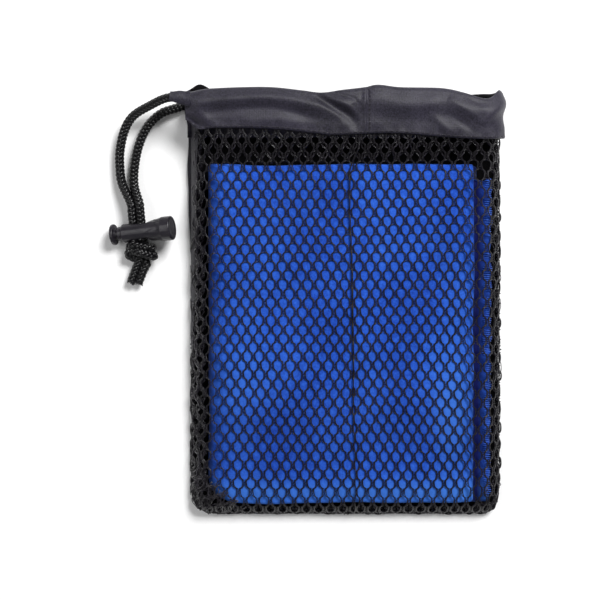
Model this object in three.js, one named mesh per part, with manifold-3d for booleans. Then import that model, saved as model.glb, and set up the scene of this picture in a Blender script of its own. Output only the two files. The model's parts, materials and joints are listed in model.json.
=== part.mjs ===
// A folded quick dry towel in a drawstring pouch with a net front, lying on its back panel.
// Millimetres. +X is to the right, +Y points to the header and the mouth, +Z points up.
// The origin is the middle of the pouch's flat underside.
import * as THREE from "three";
import { mergeVertices } from "three/addons/utils/BufferGeometryUtils.js";
import Module from "manifold-3d";

const wasm = await Module();
wasm.setup();

// ---- Driving sizes ----
const GAP = 0.3;

const pouch = { width: 143.5, bottomY: -95.5, netTopY: 74.7, netThick: 0.6, edge: 10.5, cornerR: 9 };
pouch.panelThick = 0.6;
pouch.netHalf = pouch.width / 2 - 1.25;

const header = { bottomY: 75, topY: 96.5, flapThick: 1.4, bulgeThick: 5, flapTopY: 83 };
header.left = -pouch.width / 2;
header.backZ = header.bulgeThick / 2;
header.frontZ = 21.4;
header.turnR = (header.frontZ - header.backZ) / 2;
header.turnX = pouch.width / 2 - header.turnR - header.bulgeThick / 2;
header.turnZ = (header.frontZ + header.backZ) / 2;

const cord = { radius: 1.75, tunnelR: 2.1, tunnelY: 91, legInside: 46, outX: -72.5 };
const swing = { x: -83, y: 89.5, frontZ: 14, backZ: 3.5 };

const towel = { left: -62, top: 59.2, second: 64.8, lower: 61, bottomY: -90.2, topY: 61.9 };
towel.leafThick = 2.8;
towel.pitch = towel.leafThick + 0.35;
towel.thick = 3 * towel.pitch + towel.leafThick;
towel.restZ = 0.9;
towel.rise = THREE.MathUtils.degToRad(1.456);

// The cord lock: its own axis u runs from the cap to the closed end of the barrel.
const lock = {
  capR: 4.8, capThick: 1.6, neckR: 2.4, neckEnd: 3.2, plungerR: 3.3, plungerEnd: 18.5,
  barrelStart: 5.2, barrelEnd: 29, endWall: 1.5, slimR: 4.2, wideR: 5, boreR: 3.6,
  swellStart: 18, swellEnd: 24.5, holeU: 12.4, travel: 3, turn: 6, tilt: 14,
};
lock.place = new THREE.Vector3(-94.05, 31.95, 7.9);
lock.cordSpacing = 3.8;
lock.cordSlack = 0.3;

// ---- Materials ----
const looks = {
  net: { color: 0x232124, roughness: 0.85, metalness: 0 },
  satin: { color: 0x3c3a42, roughness: 0.45, metalness: 0 },
  thread: { color: 0x2a282c, roughness: 0.7, metalness: 0 },
  cord: { color: 0x1e1c1f, roughness: 0.8, metalness: 0 },
  plastic: { color: 0x37343c, roughness: 0.35, metalness: 0 },
  steel: { color: 0xb9bcc0, roughness: 0.3, metalness: 1 },
  towel: { color: 0x285ac8, roughness: 0.95, metalness: 0 },
  towelThread: { color: 0x2f63c4, roughness: 0.8, metalness: 0 },
};

// ---- Helpers ----
const root = new THREE.Group();

function addPart(name, geometry, look, group = root) {
  const mesh = new THREE.Mesh(geometry, new THREE.MeshStandardMaterial(looks[look]));
  mesh.name = name;
  group.add(mesh);
  return mesh;
}

function solidOf(geometry) {
  const bare = geometry.clone();
  bare.deleteAttribute("normal");
  bare.deleteAttribute("uv");
  const merged = mergeVertices(bare, 1e-4);
  return new wasm.Manifold(
    new wasm.Mesh({
      numProp: 3,
      vertProperties: merged.attributes.position.array,
      triVerts: new Uint32Array(merged.index.array),
    }),
  );
}

function geometryOf(solid) {
  const made = solid.getMesh();
  const geometry = new THREE.BufferGeometry();
  geometry.setAttribute("position", new THREE.BufferAttribute(made.vertProperties, 3));
  geometry.setIndex(new THREE.BufferAttribute(made.triVerts, 1));
  geometry.computeVertexNormals();
  return geometry;
}

const cut = (base, ...tools) =>
  geometryOf(tools.reduce((solid, tool) => solid.subtract(solidOf(tool)), solidOf(base)));
const join = (base, ...others) =>
  geometryOf(others.reduce((solid, other) => solid.add(solidOf(other)), solidOf(base)));
const keepInside = (base, ...limits) =>
  geometryOf(limits.reduce((solid, limit) => solid.intersect(solidOf(limit)), solidOf(base)));

// Two grids of points, an outer and an inner skin with the same rows and columns, closed along
// their four borders into one thin shell.
function shellBetween(outer, inner) {
  const rows = outer.length;
  const columns = outer[0].length;
  const positions = [...outer.flat(), ...inner.flat()].flatMap((point) => point.toArray());
  const at = (skin, row, column) => skin * rows * columns + row * columns + column;
  const triangles = [];
  const quad = (a, b, c, d) => triangles.push(a, b, c, a, c, d);
  for (let row = 0; row + 1 < rows; row++) {
    for (let column = 0; column + 1 < columns; column++) {
      const corners = [[row, column], [row, column + 1], [row + 1, column + 1], [row + 1, column]];
      quad(...corners.map(([r, c]) => at(0, r, c)));
      quad(...corners.reverse().map(([r, c]) => at(1, r, c)));
    }
  }
  const rim = [];
  for (let column = 0; column + 1 < columns; column++) rim.push([0, column]);
  for (let row = 0; row + 1 < rows; row++) rim.push([row, columns - 1]);
  for (let column = columns - 1; column > 0; column--) rim.push([rows - 1, column]);
  for (let row = rows - 1; row > 0; row--) rim.push([row, 0]);
  rim.forEach(([row, column], index) => {
    const [nextRow, nextColumn] = rim[(index + 1) % rim.length];
    quad(at(0, nextRow, nextColumn), at(0, row, column), at(1, row, column), at(1, nextRow, nextColumn));
  });
  const geometry = new THREE.BufferGeometry();
  geometry.setAttribute("position", new THREE.Float32BufferAttribute(positions, 3));
  geometry.setIndex(triangles);
  geometry.computeVertexNormals();
  return geometry;
}

function circle(radius) {
  return new THREE.Shape().absarc(0, 0, radius, 0, 2 * Math.PI, false);
}

function tube(path, radius, steps, segments = 6) {
  return new THREE.ExtrudeGeometry(circle(radius), {
    extrudePath: path,
    steps,
    curveSegments: segments,
  });
}

const vec = (x, y, z) => new THREE.Vector3(x, y, z);

function rod(from, to, radius) {
  return tube(new THREE.LineCurve3(from, to), radius, 1, 4);
}

// A rectangle from low to high, with one corner radius each for
// low-low, high-low, high-high and low-high.
function roundedRectangle(lowX, lowY, highX, highY, radii) {
  const [ll, hl, hh, lh] = radii;
  const shape = new THREE.Shape();
  shape.moveTo(lowX + ll, lowY);
  shape.lineTo(highX - hl, lowY);
  shape.absarc(highX - hl, lowY + hl, hl, -Math.PI / 2, 0, false);
  shape.lineTo(highX, highY - hh);
  shape.absarc(highX - hh, highY - hh, hh, 0, Math.PI / 2, false);
  shape.lineTo(lowX + lh, highY);
  shape.absarc(lowX + lh, highY - lh, lh, Math.PI / 2, Math.PI, false);
  shape.lineTo(lowX, lowY + ll);
  shape.absarc(lowX + ll, lowY + ll, ll, Math.PI, 1.5 * Math.PI, false);
  return shape;
}

const plate = (shape, thick, curveSegments = 6) =>
  new THREE.ExtrudeGeometry(shape, { depth: thick, bevelEnabled: false, curveSegments });

// ---- Pouch body: a flat woven back panel and a net front that arches over the towel ----
function backPanel() {
  const half = pouch.netHalf;
  const small = 1;
  const corners = [pouch.cornerR, pouch.cornerR, small, small];
  const outline = roundedRectangle(-half, pouch.bottomY, half, pouch.netTopY, corners);
  return plate(outline, pouch.panelThick);
}

// Height of the front net's outer face over the middle of the towel. It rises with the towel, and
// more steeply from the towel's top edge to the header.
function netHeight(y) {
  const clearance = 0.5 + pouch.netThick;
  const alongTowel = Math.max(y, towel.bottomY) - towel.bottomY;
  const overTowel = towel.restZ + towel.thick + clearance + alongTowel * Math.tan(towel.rise);
  const pastTowel = Math.max(0, y - towel.topY) / (pouch.netTopY - towel.topY);
  return THREE.MathUtils.lerp(overTowel, header.frontZ - 0.3, pastTowel);
}

function netSkin(inset) {
  const footZ = pouch.panelThick + GAP;
  const edge = pouch.edge - inset;
  const straightX = pouch.netHalf - pouch.edge;
  const straightY = pouch.bottomY + pouch.edge;
  const edgeSteps = 6;
  const bend = Array.from({ length: edgeSteps + 1 }, (_, i) => (i / edgeSteps) * (Math.PI / 2));
  const columns = [
    ...bend.map((angle) => ({ x: -straightX - edge * Math.cos(angle), lift: Math.sin(angle) })),
    ...bend.toReversed().map((angle) => ({ x: straightX + edge * Math.cos(angle), lift: Math.sin(angle) })),
  ];
  const rows = [
    ...bend.map((angle) => ({ y: straightY - edge * Math.cos(angle), lift: Math.sin(angle) })),
    ...[0, towel.topY, pouch.netTopY].map((y) => ({ y, lift: 1 })),
  ];
  return rows.map((row) =>
    columns.map((column) => {
      const height = netHeight(row.y) - inset - footZ;
      return vec(column.x, row.y, footZ + height * row.lift * column.lift);
    }),
  );
}

// ---- Header: a folded satin band round the mouth, with the cord's tunnel in it ----
// The band's course seen from the mouth: along the front, round the right side, back to the left.
function headerCourse(fromX, toX) {
  const steps = 10;
  const turn = Array.from({ length: steps + 1 }, (_, i) => (i / steps) * Math.PI);
  return [
    { x: fromX, z: header.frontZ, nx: 0, nz: 1 },
    ...turn.map((angle) => ({
      x: header.turnX + header.turnR * Math.sin(angle),
      z: header.turnZ + header.turnR * Math.cos(angle),
      nx: Math.sin(angle),
      nz: Math.cos(angle),
    })),
    { x: toX, z: header.backZ, nx: 0, nz: -1 },
  ];
}

// Carries a closed outline along the header's course; its x is measured across the band and its y
// along the pouch.
function sweptAlongHeader(outline, fromX, toX) {
  const points = outline.getPoints(6);
  if (points[0].equals(points.at(-1))) points.pop();
  if (THREE.ShapeUtils.isClockWise(points)) points.reverse();
  const course = headerCourse(fromX, toX);
  const positions = course.flatMap((stop) =>
    points.flatMap((p) => [stop.x + stop.nx * p.x, p.y, stop.z + stop.nz * p.x]),
  );
  const count = points.length;
  const triangles = [];
  for (let stop = 0; stop + 1 < course.length; stop++) {
    for (let i = 0; i < count; i++) {
      const next = (i + 1) % count;
      const [a, b] = [stop * count + i, stop * count + next];
      triangles.push(a, b + count, b, a, a + count, b + count);
    }
  }
  const last = (course.length - 1) * count;
  for (const [a, b, c] of THREE.ShapeUtils.triangulateShape(points, [])) {
    triangles.push(a, b, c, last + c, last + b, last + a);
  }
  const geometry = new THREE.BufferGeometry();
  geometry.setAttribute("position", new THREE.Float32BufferAttribute(positions, 3));
  geometry.setIndex(triangles);
  geometry.computeVertexNormals();
  return geometry;
}

function headerSection() {
  const flap = header.flapThick / 2;
  const bulge = header.bulgeThick / 2;
  const shape = new THREE.Shape();
  shape.moveTo(-flap, header.bottomY);
  shape.lineTo(flap, header.bottomY);
  shape.lineTo(flap, header.flapTopY);
  shape.bezierCurveTo(flap, cord.tunnelY - 5, bulge, cord.tunnelY - 4, bulge, cord.tunnelY);
  shape.bezierCurveTo(bulge, header.topY - 2, 1.5, header.topY, 0, header.topY);
  shape.bezierCurveTo(-1.5, header.topY, -bulge, header.topY - 2, -bulge, cord.tunnelY);
  shape.bezierCurveTo(-bulge, cord.tunnelY - 4, -flap, cord.tunnelY - 5, -flap, header.flapTopY);
  shape.lineTo(-flap, header.bottomY);
  return shape;
}

const atTunnel = (radius) => new THREE.Shape().absarc(0, cord.tunnelY, radius, 0, 2 * Math.PI, false);

function headerCasing() {
  const band = sweptAlongHeader(headerSection(), header.left, header.left);
  const tunnel = sweptAlongHeader(atTunnel(cord.tunnelR), header.left - 1, header.left - 1);
  return cut(band, tunnel);
}

// ---- Seam threads ----
const threadR = 0.3;
const seamZ = 1.4;

function headerStitch(bandZ) {
  const y = header.bottomY + 2.5;
  const z = bandZ + header.flapThick / 2 + GAP + threadR;
  return rod(vec(header.left + 1.5, y, z), vec(header.turnX, y, z), threadR);
}

function headerJointThread() {
  const x = 10;
  const z = header.frontZ + header.flapThick / 2 + GAP + threadR;
  return rod(vec(x, header.bottomY + 3.5, z), vec(x, header.flapTopY, z), threadR);
}

function sideSeamThread(side) {
  const x = side * (pouch.netHalf + GAP + threadR);
  return rod(vec(x, pouch.bottomY + pouch.cornerR, seamZ), vec(x, pouch.netTopY, seamZ), threadR);
}

function bottomSeamThread() {
  const y = pouch.bottomY - GAP - threadR;
  const reach = pouch.netHalf - pouch.cornerR;
  return rod(vec(-reach, y, seamZ), vec(reach, y, seamZ), threadR);
}

// ---- Drawcord ----
function cordRun() {
  const innerEnd = header.left + cord.legInside;
  return sweptAlongHeader(atTunnel(cord.radius), innerEnd, innerEnd);
}

// One leg lies straight in the tunnel and bends to the swing axis outside it.
function cordLeg(tunnelZ, swingZ) {
  const innerEnd = header.left + cord.legInside - GAP;
  const mouth = vec(cord.outX, cord.tunnelY, tunnelZ);
  const end = vec(swing.x + cord.radius + GAP, swing.y, swingZ);
  const path = new THREE.CurvePath();
  path.add(new THREE.LineCurve3(vec(innerEnd, cord.tunnelY, tunnelZ), mouth));
  const reach = 4;
  const bendStart = mouth.clone().setX(mouth.x - reach);
  const bendEnd = end.clone().setX(end.x + reach);
  path.add(new THREE.CubicBezierCurve3(mouth, bendStart, bendEnd, end));
  return tube(path, cord.radius, 30);
}

// Direction of the lock's cord hole, and of its long axis.
const turn = THREE.MathUtils.degToRad(lock.turn);
const tilt = THREE.MathUtils.degToRad(lock.tilt);
const holeAxis = vec(-Math.sin(turn), Math.cos(turn), 0);
const lockAxis = vec(Math.cos(tilt) * Math.cos(turn), Math.cos(tilt) * Math.sin(turn), Math.sin(tilt));

// One strand runs from the swing axis out to its widest point, then straight through the lock.
function cordStrand({ side, startZ, leave, approach, widest, leadOut }) {
  const start = vec(swing.x, swing.y, startZ);
  const spread = lockAxis.clone().multiplyScalar((side * lock.cordSpacing) / 2);
  const along = (distance) => lock.place.clone().addScaledVector(holeAxis, distance).add(spread);
  const straightTop = along(14);
  const path = new THREE.CurvePath();
  path.add(new THREE.CubicBezierCurve3(start, leave, approach, widest));
  path.add(new THREE.CubicBezierCurve3(widest, leadOut, along(20), straightTop));
  path.add(new THREE.LineCurve3(straightTop, along(-8)));
  return tube(path, cord.radius, 34);
}

function cordKnot() {
  const knot = new THREE.SphereGeometry(1, 16, 10);
  knot.scale(7.4, 4.3, 4.4);
  knot.rotateZ(turn);
  const centre = lock.place.clone().addScaledVector(holeAxis, -9.8).setZ(6.2);
  return knot.translate(...centre.toArray());
}

function cordTail(from, to) {
  return tube(new THREE.LineCurve3(from, to), cord.radius, 1);
}

function cordLoop() {
  const outer = cordStrand({
    side: -1,
    startZ: swing.frontZ,
    leave: vec(-92, 89.5, 11),
    approach: vec(-101.9, 78, 5.5),
    widest: vec(-101.9, 62, 4),
    leadOut: vec(-101.9, 55, 3.6),
  });
  const inner = cordStrand({
    side: 1,
    startZ: swing.backZ,
    leave: vec(-87, 86.5, 3.2),
    approach: vec(-95, 76, 3.2),
    widest: vec(-96.6, 60, 3.8),
    leadOut: vec(-97, 54, 4.4),
  });
  const leftTail = cordTail(vec(-94, 20, 5.2), vec(-96.8, 10.6, 2.6));
  const rightTail = cordTail(vec(-90, 20, 5.2), vec(-92.7, 8.3, 2.4));
  const ball = (z) => new THREE.SphereGeometry(cord.radius, 12, 8).translate(swing.x, swing.y, z);
  return join(outer, inner, cordKnot(), leftTail, rightTail, ball(swing.frontZ), ball(swing.backZ));
}

// ---- Cord lock ----
const lockGroup = new THREE.Group();
lockGroup.position.copy(lock.place);
lockGroup.rotation.set(0, -tilt, turn, "ZYX");
root.add(lockGroup);

// A lathe turned about the lock's long axis. Profile points are (radius, distance from the cap).
function turned(profile, segments = 24) {
  const geometry = new THREE.LatheGeometry(profile, segments);
  geometry.rotateZ(-Math.PI / 2);
  return geometry.translate(-lock.holeU, 0, 0);
}

const alongLock = (u) => u - lock.holeU;
const cordHalf = lock.cordSpacing / 2 + cord.radius + lock.cordSlack;
const slotHalf = cord.radius + lock.cordSlack;

// A slot through the lock along the cords, from u = start to u = end.
function cordSlot(start, end, roundness) {
  const [low, high] = [alongLock(start), alongLock(end)];
  const outline = roundedRectangle(low, -slotHalf, high, slotHalf, Array(4).fill(roundness));
  const depth = 4 * lock.wideR;
  return plate(outline, depth).rotateX(Math.PI / 2).translate(0, depth / 2, 0);
}

function lockBarrel() {
  const profile = new THREE.Path();
  const chamfer = 0.4;
  const insideEnd = lock.barrelEnd - lock.endWall;
  profile.moveTo(0, insideEnd);
  profile.lineTo(lock.boreR, insideEnd);
  profile.lineTo(lock.boreR, lock.barrelStart);
  profile.lineTo(lock.slimR - chamfer / 2, lock.barrelStart);
  profile.lineTo(lock.slimR, lock.barrelStart + chamfer);
  profile.lineTo(lock.slimR, lock.swellStart);
  profile.quadraticCurveTo(lock.slimR, lock.swellEnd - 2, lock.wideR, lock.swellEnd);
  profile.lineTo(lock.wideR, lock.barrelEnd - 2 * chamfer);
  profile.quadraticCurveTo(lock.wideR, lock.barrelEnd, lock.wideR - 2 * chamfer, lock.barrelEnd);
  profile.lineTo(0, lock.barrelEnd);
  const body = turned(profile.getPoints(5));
  const hole = cordSlot(lock.holeU - cordHalf, lock.holeU + cordHalf, slotHalf - 0.1);
  const saddle = (side) => {
    const radius = 3;
    const scoop = new THREE.CylinderGeometry(radius, radius, 3 * lock.wideR, 20);
    return scoop.rotateX(Math.PI / 2).translate(cordHalf, side * (lock.slimR + radius - 0.9), 0);
  };
  return cut(body, hole, saddle(1), saddle(-1));
}

function lockPlunger() {
  const profile = new THREE.Path();
  const round = 0.5;
  profile.moveTo(0, 0);
  profile.lineTo(lock.capR - round, 0);
  profile.quadraticCurveTo(lock.capR, 0, lock.capR, round);
  profile.lineTo(lock.capR, lock.capThick - round);
  profile.quadraticCurveTo(lock.capR, lock.capThick, lock.capR - round, lock.capThick);
  profile.lineTo(lock.neckR, lock.capThick);
  profile.lineTo(lock.neckR, lock.neckEnd);
  profile.lineTo(lock.plungerR, lock.neckEnd);
  profile.lineTo(lock.plungerR, lock.plungerEnd);
  profile.lineTo(0, lock.plungerEnd);
  const body = turned(profile.getPoints(3));
  const slotEnd = lock.holeU + cordHalf;
  return cut(body, cordSlot(slotEnd - 2 * cordHalf - lock.travel, slotEnd, 0.4));
}

class Helix extends THREE.Curve {
  constructor(radius, start, end, turns) {
    super();
    Object.assign(this, { radius, start, end, turns });
  }
  getPoint(t, target = new THREE.Vector3()) {
    const angle = 2 * Math.PI * this.turns * t;
    const u = THREE.MathUtils.lerp(this.start, this.end, t);
    return target.set(u, this.radius * Math.cos(angle), this.radius * Math.sin(angle));
  }
}

function lockSpring() {
  const wireR = 0.35;
  const start = alongLock(lock.plungerEnd + wireR + GAP);
  const end = alongLock(lock.barrelEnd - lock.endWall - wireR - GAP);
  return tube(new Helix(2.5, start, end, 4.5), wireR, 60, 3);
}

// ---- Towel: folded in half twice, so two free edges lie on top at the right ----
function towelSection() {
  const half = towel.leafThick / 2;
  const level = (leaf) => half + leaf * towel.pitch;
  const outerR = 1.5 * towel.pitch;
  const innerR = towel.pitch / 2;
  const foldX = towel.left + outerR + half;
  const lowerFoldX = towel.lower - innerR - half;
  const middle = (a, b) => (level(a) + level(b)) / 2;
  // Each offset from the cloth's middle traces one face of the whole folded cloth.
  const face = (offset) => {
    const path = new THREE.Path();
    path.moveTo(towel.top, level(3) + offset);
    path.lineTo(foldX, level(3) + offset);
    path.absarc(foldX, middle(0, 3), outerR + offset, Math.PI / 2, 1.5 * Math.PI, false);
    path.lineTo(lowerFoldX, level(0) - offset);
    path.absarc(lowerFoldX, middle(0, 1), innerR + offset, -Math.PI / 2, Math.PI / 2, false);
    path.lineTo(foldX, level(1) + offset);
    path.absarc(foldX, middle(1, 2), innerR - offset, 1.5 * Math.PI, Math.PI / 2, true);
    path.lineTo(towel.second, level(2) - offset);
    return path.getPoints(8);
  };
  return new THREE.Shape([...face(half), ...face(-half).toReversed()]);
}

function towelCloth() {
  const length = towel.topY - towel.bottomY;
  const folded = plate(towelSection(), length).rotateX(Math.PI / 2).translate(0, length, 0);
  const planRadii = [10, 6, 3, 4];
  const reach = 1;
  const plan = plate(roundedRectangle(towel.left - reach, 0, towel.second + reach, length, planRadii), 20);
  const endRadii = [3, 3, 5.5, 5.5];
  const profile = plate(roundedRectangle(0, 0, length, towel.thick, endRadii), 2 * pouch.width);
  profile.rotateX(Math.PI / 2).rotateZ(Math.PI / 2).translate(-pouch.width, 0, 0);
  return keepInside(folded, plan.translate(0, 0, -2), profile);
}

function towelOverlockThread() {
  const z = towel.leafThick / 2 + 2 * towel.pitch;
  const x = towel.second + GAP + threadR;
  const length = towel.topY - towel.bottomY;
  return rod(vec(x, 12, z), vec(x, length - 8, z), threadR);
}

const towelGroup = new THREE.Group();
towelGroup.position.set(0, towel.bottomY, towel.restZ);
towelGroup.rotation.x = towel.rise;
root.add(towelGroup);

// ---- Assembly ----
addPart("back_panel", backPanel(), "satin");
addPart("net_front", shellBetween(netSkin(0), netSkin(pouch.netThick)), "net");
addPart("header_casing", headerCasing(), "satin");
addPart("header_stitch_front", headerStitch(header.frontZ), "thread");
addPart("header_stitch_back", headerStitch(header.backZ), "thread");
addPart("header_joint_thread", headerJointThread(), "thread");
addPart("side_seam_thread_left", sideSeamThread(-1), "thread");
addPart("side_seam_thread_right", sideSeamThread(1), "thread");
addPart("bottom_seam_thread", bottomSeamThread(), "thread");
addPart("cord_run", cordRun(), "cord");
addPart("cord_leg_front", cordLeg(header.frontZ, swing.frontZ), "cord");
addPart("cord_leg_back", cordLeg(header.backZ, swing.backZ), "cord");
addPart("cord_loop", cordLoop(), "cord");
addPart("lock_barrel", lockBarrel(), "plastic", lockGroup);
addPart("lock_plunger", lockPlunger(), "plastic", lockGroup);
addPart("lock_spring", lockSpring(), "steel", lockGroup);
addPart("towel_cloth", towelCloth(), "towel", towelGroup);
addPart("towel_overlock_thread", towelOverlockThread(), "towelThread", towelGroup);

export default root;
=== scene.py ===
"""A folded quick dry towel in a drawstring pouch with a net front, seen from straight above."""

import json
import math

import bmesh
import bpy
import numpy as np
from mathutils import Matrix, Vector


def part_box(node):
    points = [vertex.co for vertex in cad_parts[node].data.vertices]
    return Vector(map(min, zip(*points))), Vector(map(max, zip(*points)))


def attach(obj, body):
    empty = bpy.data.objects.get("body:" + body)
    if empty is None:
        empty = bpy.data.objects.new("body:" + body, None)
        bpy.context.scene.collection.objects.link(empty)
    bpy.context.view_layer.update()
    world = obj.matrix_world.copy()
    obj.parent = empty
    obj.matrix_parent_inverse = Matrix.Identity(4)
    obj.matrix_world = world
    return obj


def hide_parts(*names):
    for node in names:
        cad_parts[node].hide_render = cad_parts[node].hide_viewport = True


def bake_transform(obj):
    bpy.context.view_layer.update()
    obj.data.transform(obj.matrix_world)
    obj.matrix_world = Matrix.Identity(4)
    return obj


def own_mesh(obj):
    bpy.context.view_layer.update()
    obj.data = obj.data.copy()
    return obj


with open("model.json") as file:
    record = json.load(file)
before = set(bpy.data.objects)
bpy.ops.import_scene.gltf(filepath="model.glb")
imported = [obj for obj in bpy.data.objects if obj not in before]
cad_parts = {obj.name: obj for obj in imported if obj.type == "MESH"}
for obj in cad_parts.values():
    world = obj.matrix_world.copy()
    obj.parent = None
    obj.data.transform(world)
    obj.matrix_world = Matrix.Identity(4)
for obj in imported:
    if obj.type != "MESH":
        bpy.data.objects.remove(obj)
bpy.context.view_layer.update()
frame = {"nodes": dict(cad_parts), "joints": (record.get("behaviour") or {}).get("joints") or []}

MM = 0.001
JOINTS = {joint["name"]: joint for joint in frame["joints"]}


def corners(node):
    """Lowest and highest corner of a CAD part, in millimetres."""
    return [np.array(corner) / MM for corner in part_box(node)]


NET_LOW, NET_HIGH = corners("net_front")
HEAD_LOW, HEAD_HIGH = corners("header_casing")
TOWEL_LOW, TOWEL_HIGH = corners("towel_cloth")
THREAD_LOW, THREAD_HIGH = corners("towel_overlock_thread")
PANEL_TOP = corners("back_panel")[1][2]


# ---------------- numbers and curves

def ease(t):
    """0 to 1 with level ends."""
    t = np.clip(t, 0, 1)
    return t * t * (3 - 2 * t)


def bump(t):
    """1 at 0, falling smoothly to almost 0 at 2."""
    return np.exp(-np.square(t))


def ripple(x, y, seed, length_x, length_y, waves=9):
    """Smooth seeded unevenness of about -1 to 1, with the given typical wavelengths."""
    draw = np.random.default_rng(seed)
    total = np.zeros(np.broadcast(x, y).shape)
    for _ in range(waves):
        turn = draw.uniform(-1, 1, 2)
        stretch = draw.uniform(0.6, 1.6, 2)
        phase = draw.uniform(0, 2 * math.pi)
        angle_x = 2 * math.pi * x / length_x * stretch[0] * turn[0]
        angle_y = 2 * math.pi * y / length_y * stretch[1] * turn[1]
        total = total + np.sin(angle_x + angle_y + phase)
    return total / math.sqrt(waves) * 0.8


def wander(run, seed, length):
    """The same unevenness along one direction only."""
    return ripple(run, 0 * run, seed, length, length)


def run_along(path):
    """Length along a path at each of its points."""
    return np.concatenate([[0], np.cumsum(np.linalg.norm(np.diff(path, axis=0), axis=1))])


def smooth_curve(points, count):
    """A Catmull-Rom curve through the points, sampled evenly along its length."""
    p = np.array(points, float)
    p = np.vstack([2 * p[0] - p[1], p, 2 * p[-1] - p[-2]])
    fine = []
    for a, b, c, d in zip(p, p[1:], p[2:], p[3:]):
        t = np.linspace(0, 1, 40, endpoint=False)[:, None]
        fine.append(0.5 * (2 * b + (c - a) * t + (2 * a - 5 * b + 4 * c - d) * t**2
                           + (3 * b - a - 3 * c + d) * t**3))
    fine = np.vstack(fine + [p[-2][None]])
    run = run_along(fine)
    even = np.linspace(0, run[-1], count)
    return np.stack([np.interp(even, run, fine[:, axis]) for axis in range(3)], axis=1)


def unit(v):
    return v / np.maximum(np.linalg.norm(v, axis=-1, keepdims=True), 1e-9)


def at(x, y, z):
    """Points from their coordinates, any of which may be a single number."""
    return np.stack(np.broadcast_arrays(x, y, z), -1)


def side_vectors(path):
    """For each path of points, a sideways and an upward unit vector carried along without twisting."""
    along = unit(np.gradient(path, axis=-2))
    side = np.empty_like(path)
    side[..., 0, :] = unit(np.cross(along[..., 0, :], [0.05, 0.03, 1.0]))
    for i in range(1, path.shape[-2]):
        carried = side[..., i - 1, :]
        level = np.sum(carried * along[..., i, :], axis=-1, keepdims=True)
        side[..., i, :] = unit(carried - level * along[..., i, :])
    return side, np.cross(along, side)


def crease(x, y, points, width, height):
    """A soft ridge along a bent line, or a valley where height is negative; it fades at both ends."""
    line = smooth_curve([(*point, 0) for point in points], 4 * len(points))[:, :2]
    steps = np.linalg.norm(np.diff(line, axis=0), axis=1)
    nearest = np.full(np.shape(x), 1e9)
    share = np.zeros(np.shape(x))
    run = 0.0
    for start, end, step in zip(line, line[1:], steps):
        direction = (end - start) / step
        along = np.clip((x - start[0]) * direction[0] + (y - start[1]) * direction[1], 0, step)
        distance = np.hypot(x - start[0] - along * direction[0], y - start[1] - along * direction[1])
        closer = distance < nearest
        nearest = np.where(closer, distance, nearest)
        share = np.where(closer, (run + along) / steps.sum(), share)
        run += step
    return height * bump(nearest / width) * np.sqrt(np.clip(4 * share * (1 - share), 0, 1))


def soft_line(x, points):
    """A smooth outline through a few (x, height) points."""
    knots = np.array(points, float)
    curve = smooth_curve([(a, b, 0) for a, b in knots], 24 * len(knots))
    return np.interp(x, curve[:, 0], curve[:, 1])


# ---------------- mesh building

def in_scene(name, data):
    """A new object in the scene."""
    obj = bpy.data.objects.new(name, data)
    bpy.context.scene.collection.objects.link(obj)
    return obj


def tie(obj, body, replaces):
    """Shades an object smoothly, ties it to its body and hides the CAD parts it stands for."""
    obj.data.polygons.foreach_set("use_smooth", [True] * len(obj.data.polygons))
    if body:
        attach(obj, body)
    if replaces:
        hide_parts(*replaces)
    return obj


def make_object(name, shape, material, body, slot, *replaces):
    """A mesh object from millimetre vertices and a list of faces, riding on a body if one is given."""
    vertices, faces = shape
    mesh = bpy.data.meshes.new(name)
    mesh.from_pydata((vertices * MM).tolist(), [], faces)
    mesh.validate()
    mesh.materials.append(material)
    return tie(in_scene(name, mesh), body, replaces)


def grid_faces(rows, columns, wrap=False, start=0):
    """Four-sided faces of a grid of vertices; wrap joins the last column to the first."""
    r, c = np.meshgrid(np.arange(rows - 1), np.arange(columns if wrap else columns - 1), indexing="ij")
    here, beside = r * columns + c, r * columns + (c + 1) % columns
    return np.stack([here, beside, beside + columns, here + columns], axis=-1).reshape(-1, 4) + start


def loft_faces(rows, columns):
    """Faces of a closed loft through rings of vertices, with a flat face at each end."""
    last = (rows - 1) * columns
    ends = [list(range(columns - 1, -1, -1)), list(range(last, last + columns))]
    return grid_faces(rows, columns, wrap=True).tolist() + ends


def tubes(paths, radius, sides=6, flat=1.0, up=None):
    """Closed tubes round many paths of equal length: vertices and faces.

    The radius may vary per point. A flat below 1 makes a ribbon, thin in the up direction.
    """
    points = paths.shape[1]
    if up is None:
        side, up = side_vectors(paths)
    else:
        side = unit(np.cross(np.gradient(paths, axis=-2), up))
    radius = np.broadcast_to(radius, paths.shape[:2])[..., None, None]
    angle = (np.arange(sides) + 0.5) * 2 * math.pi / sides
    ring = np.cos(angle)[:, None] * side[..., None, :] + flat * np.sin(angle)[:, None] * up[..., None, :]
    vertices = (paths[..., None, :] + radius * ring).reshape(-1, 3)
    one = loft_faces(points, sides)
    faces = [[i + start for i in face] for start in range(0, len(vertices), points * sides) for face in one]
    return vertices, faces


def gather(parts):
    """Joins (vertices, faces) pairs into one pair."""
    vertices, faces, start = [], [], 0
    for some_vertices, some_faces in parts:
        vertices.append(some_vertices)
        faces += [[i + start for i in face] for face in some_faces]
        start += len(some_vertices)
    return np.vstack(vertices), faces


# ---------------- materials

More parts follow.
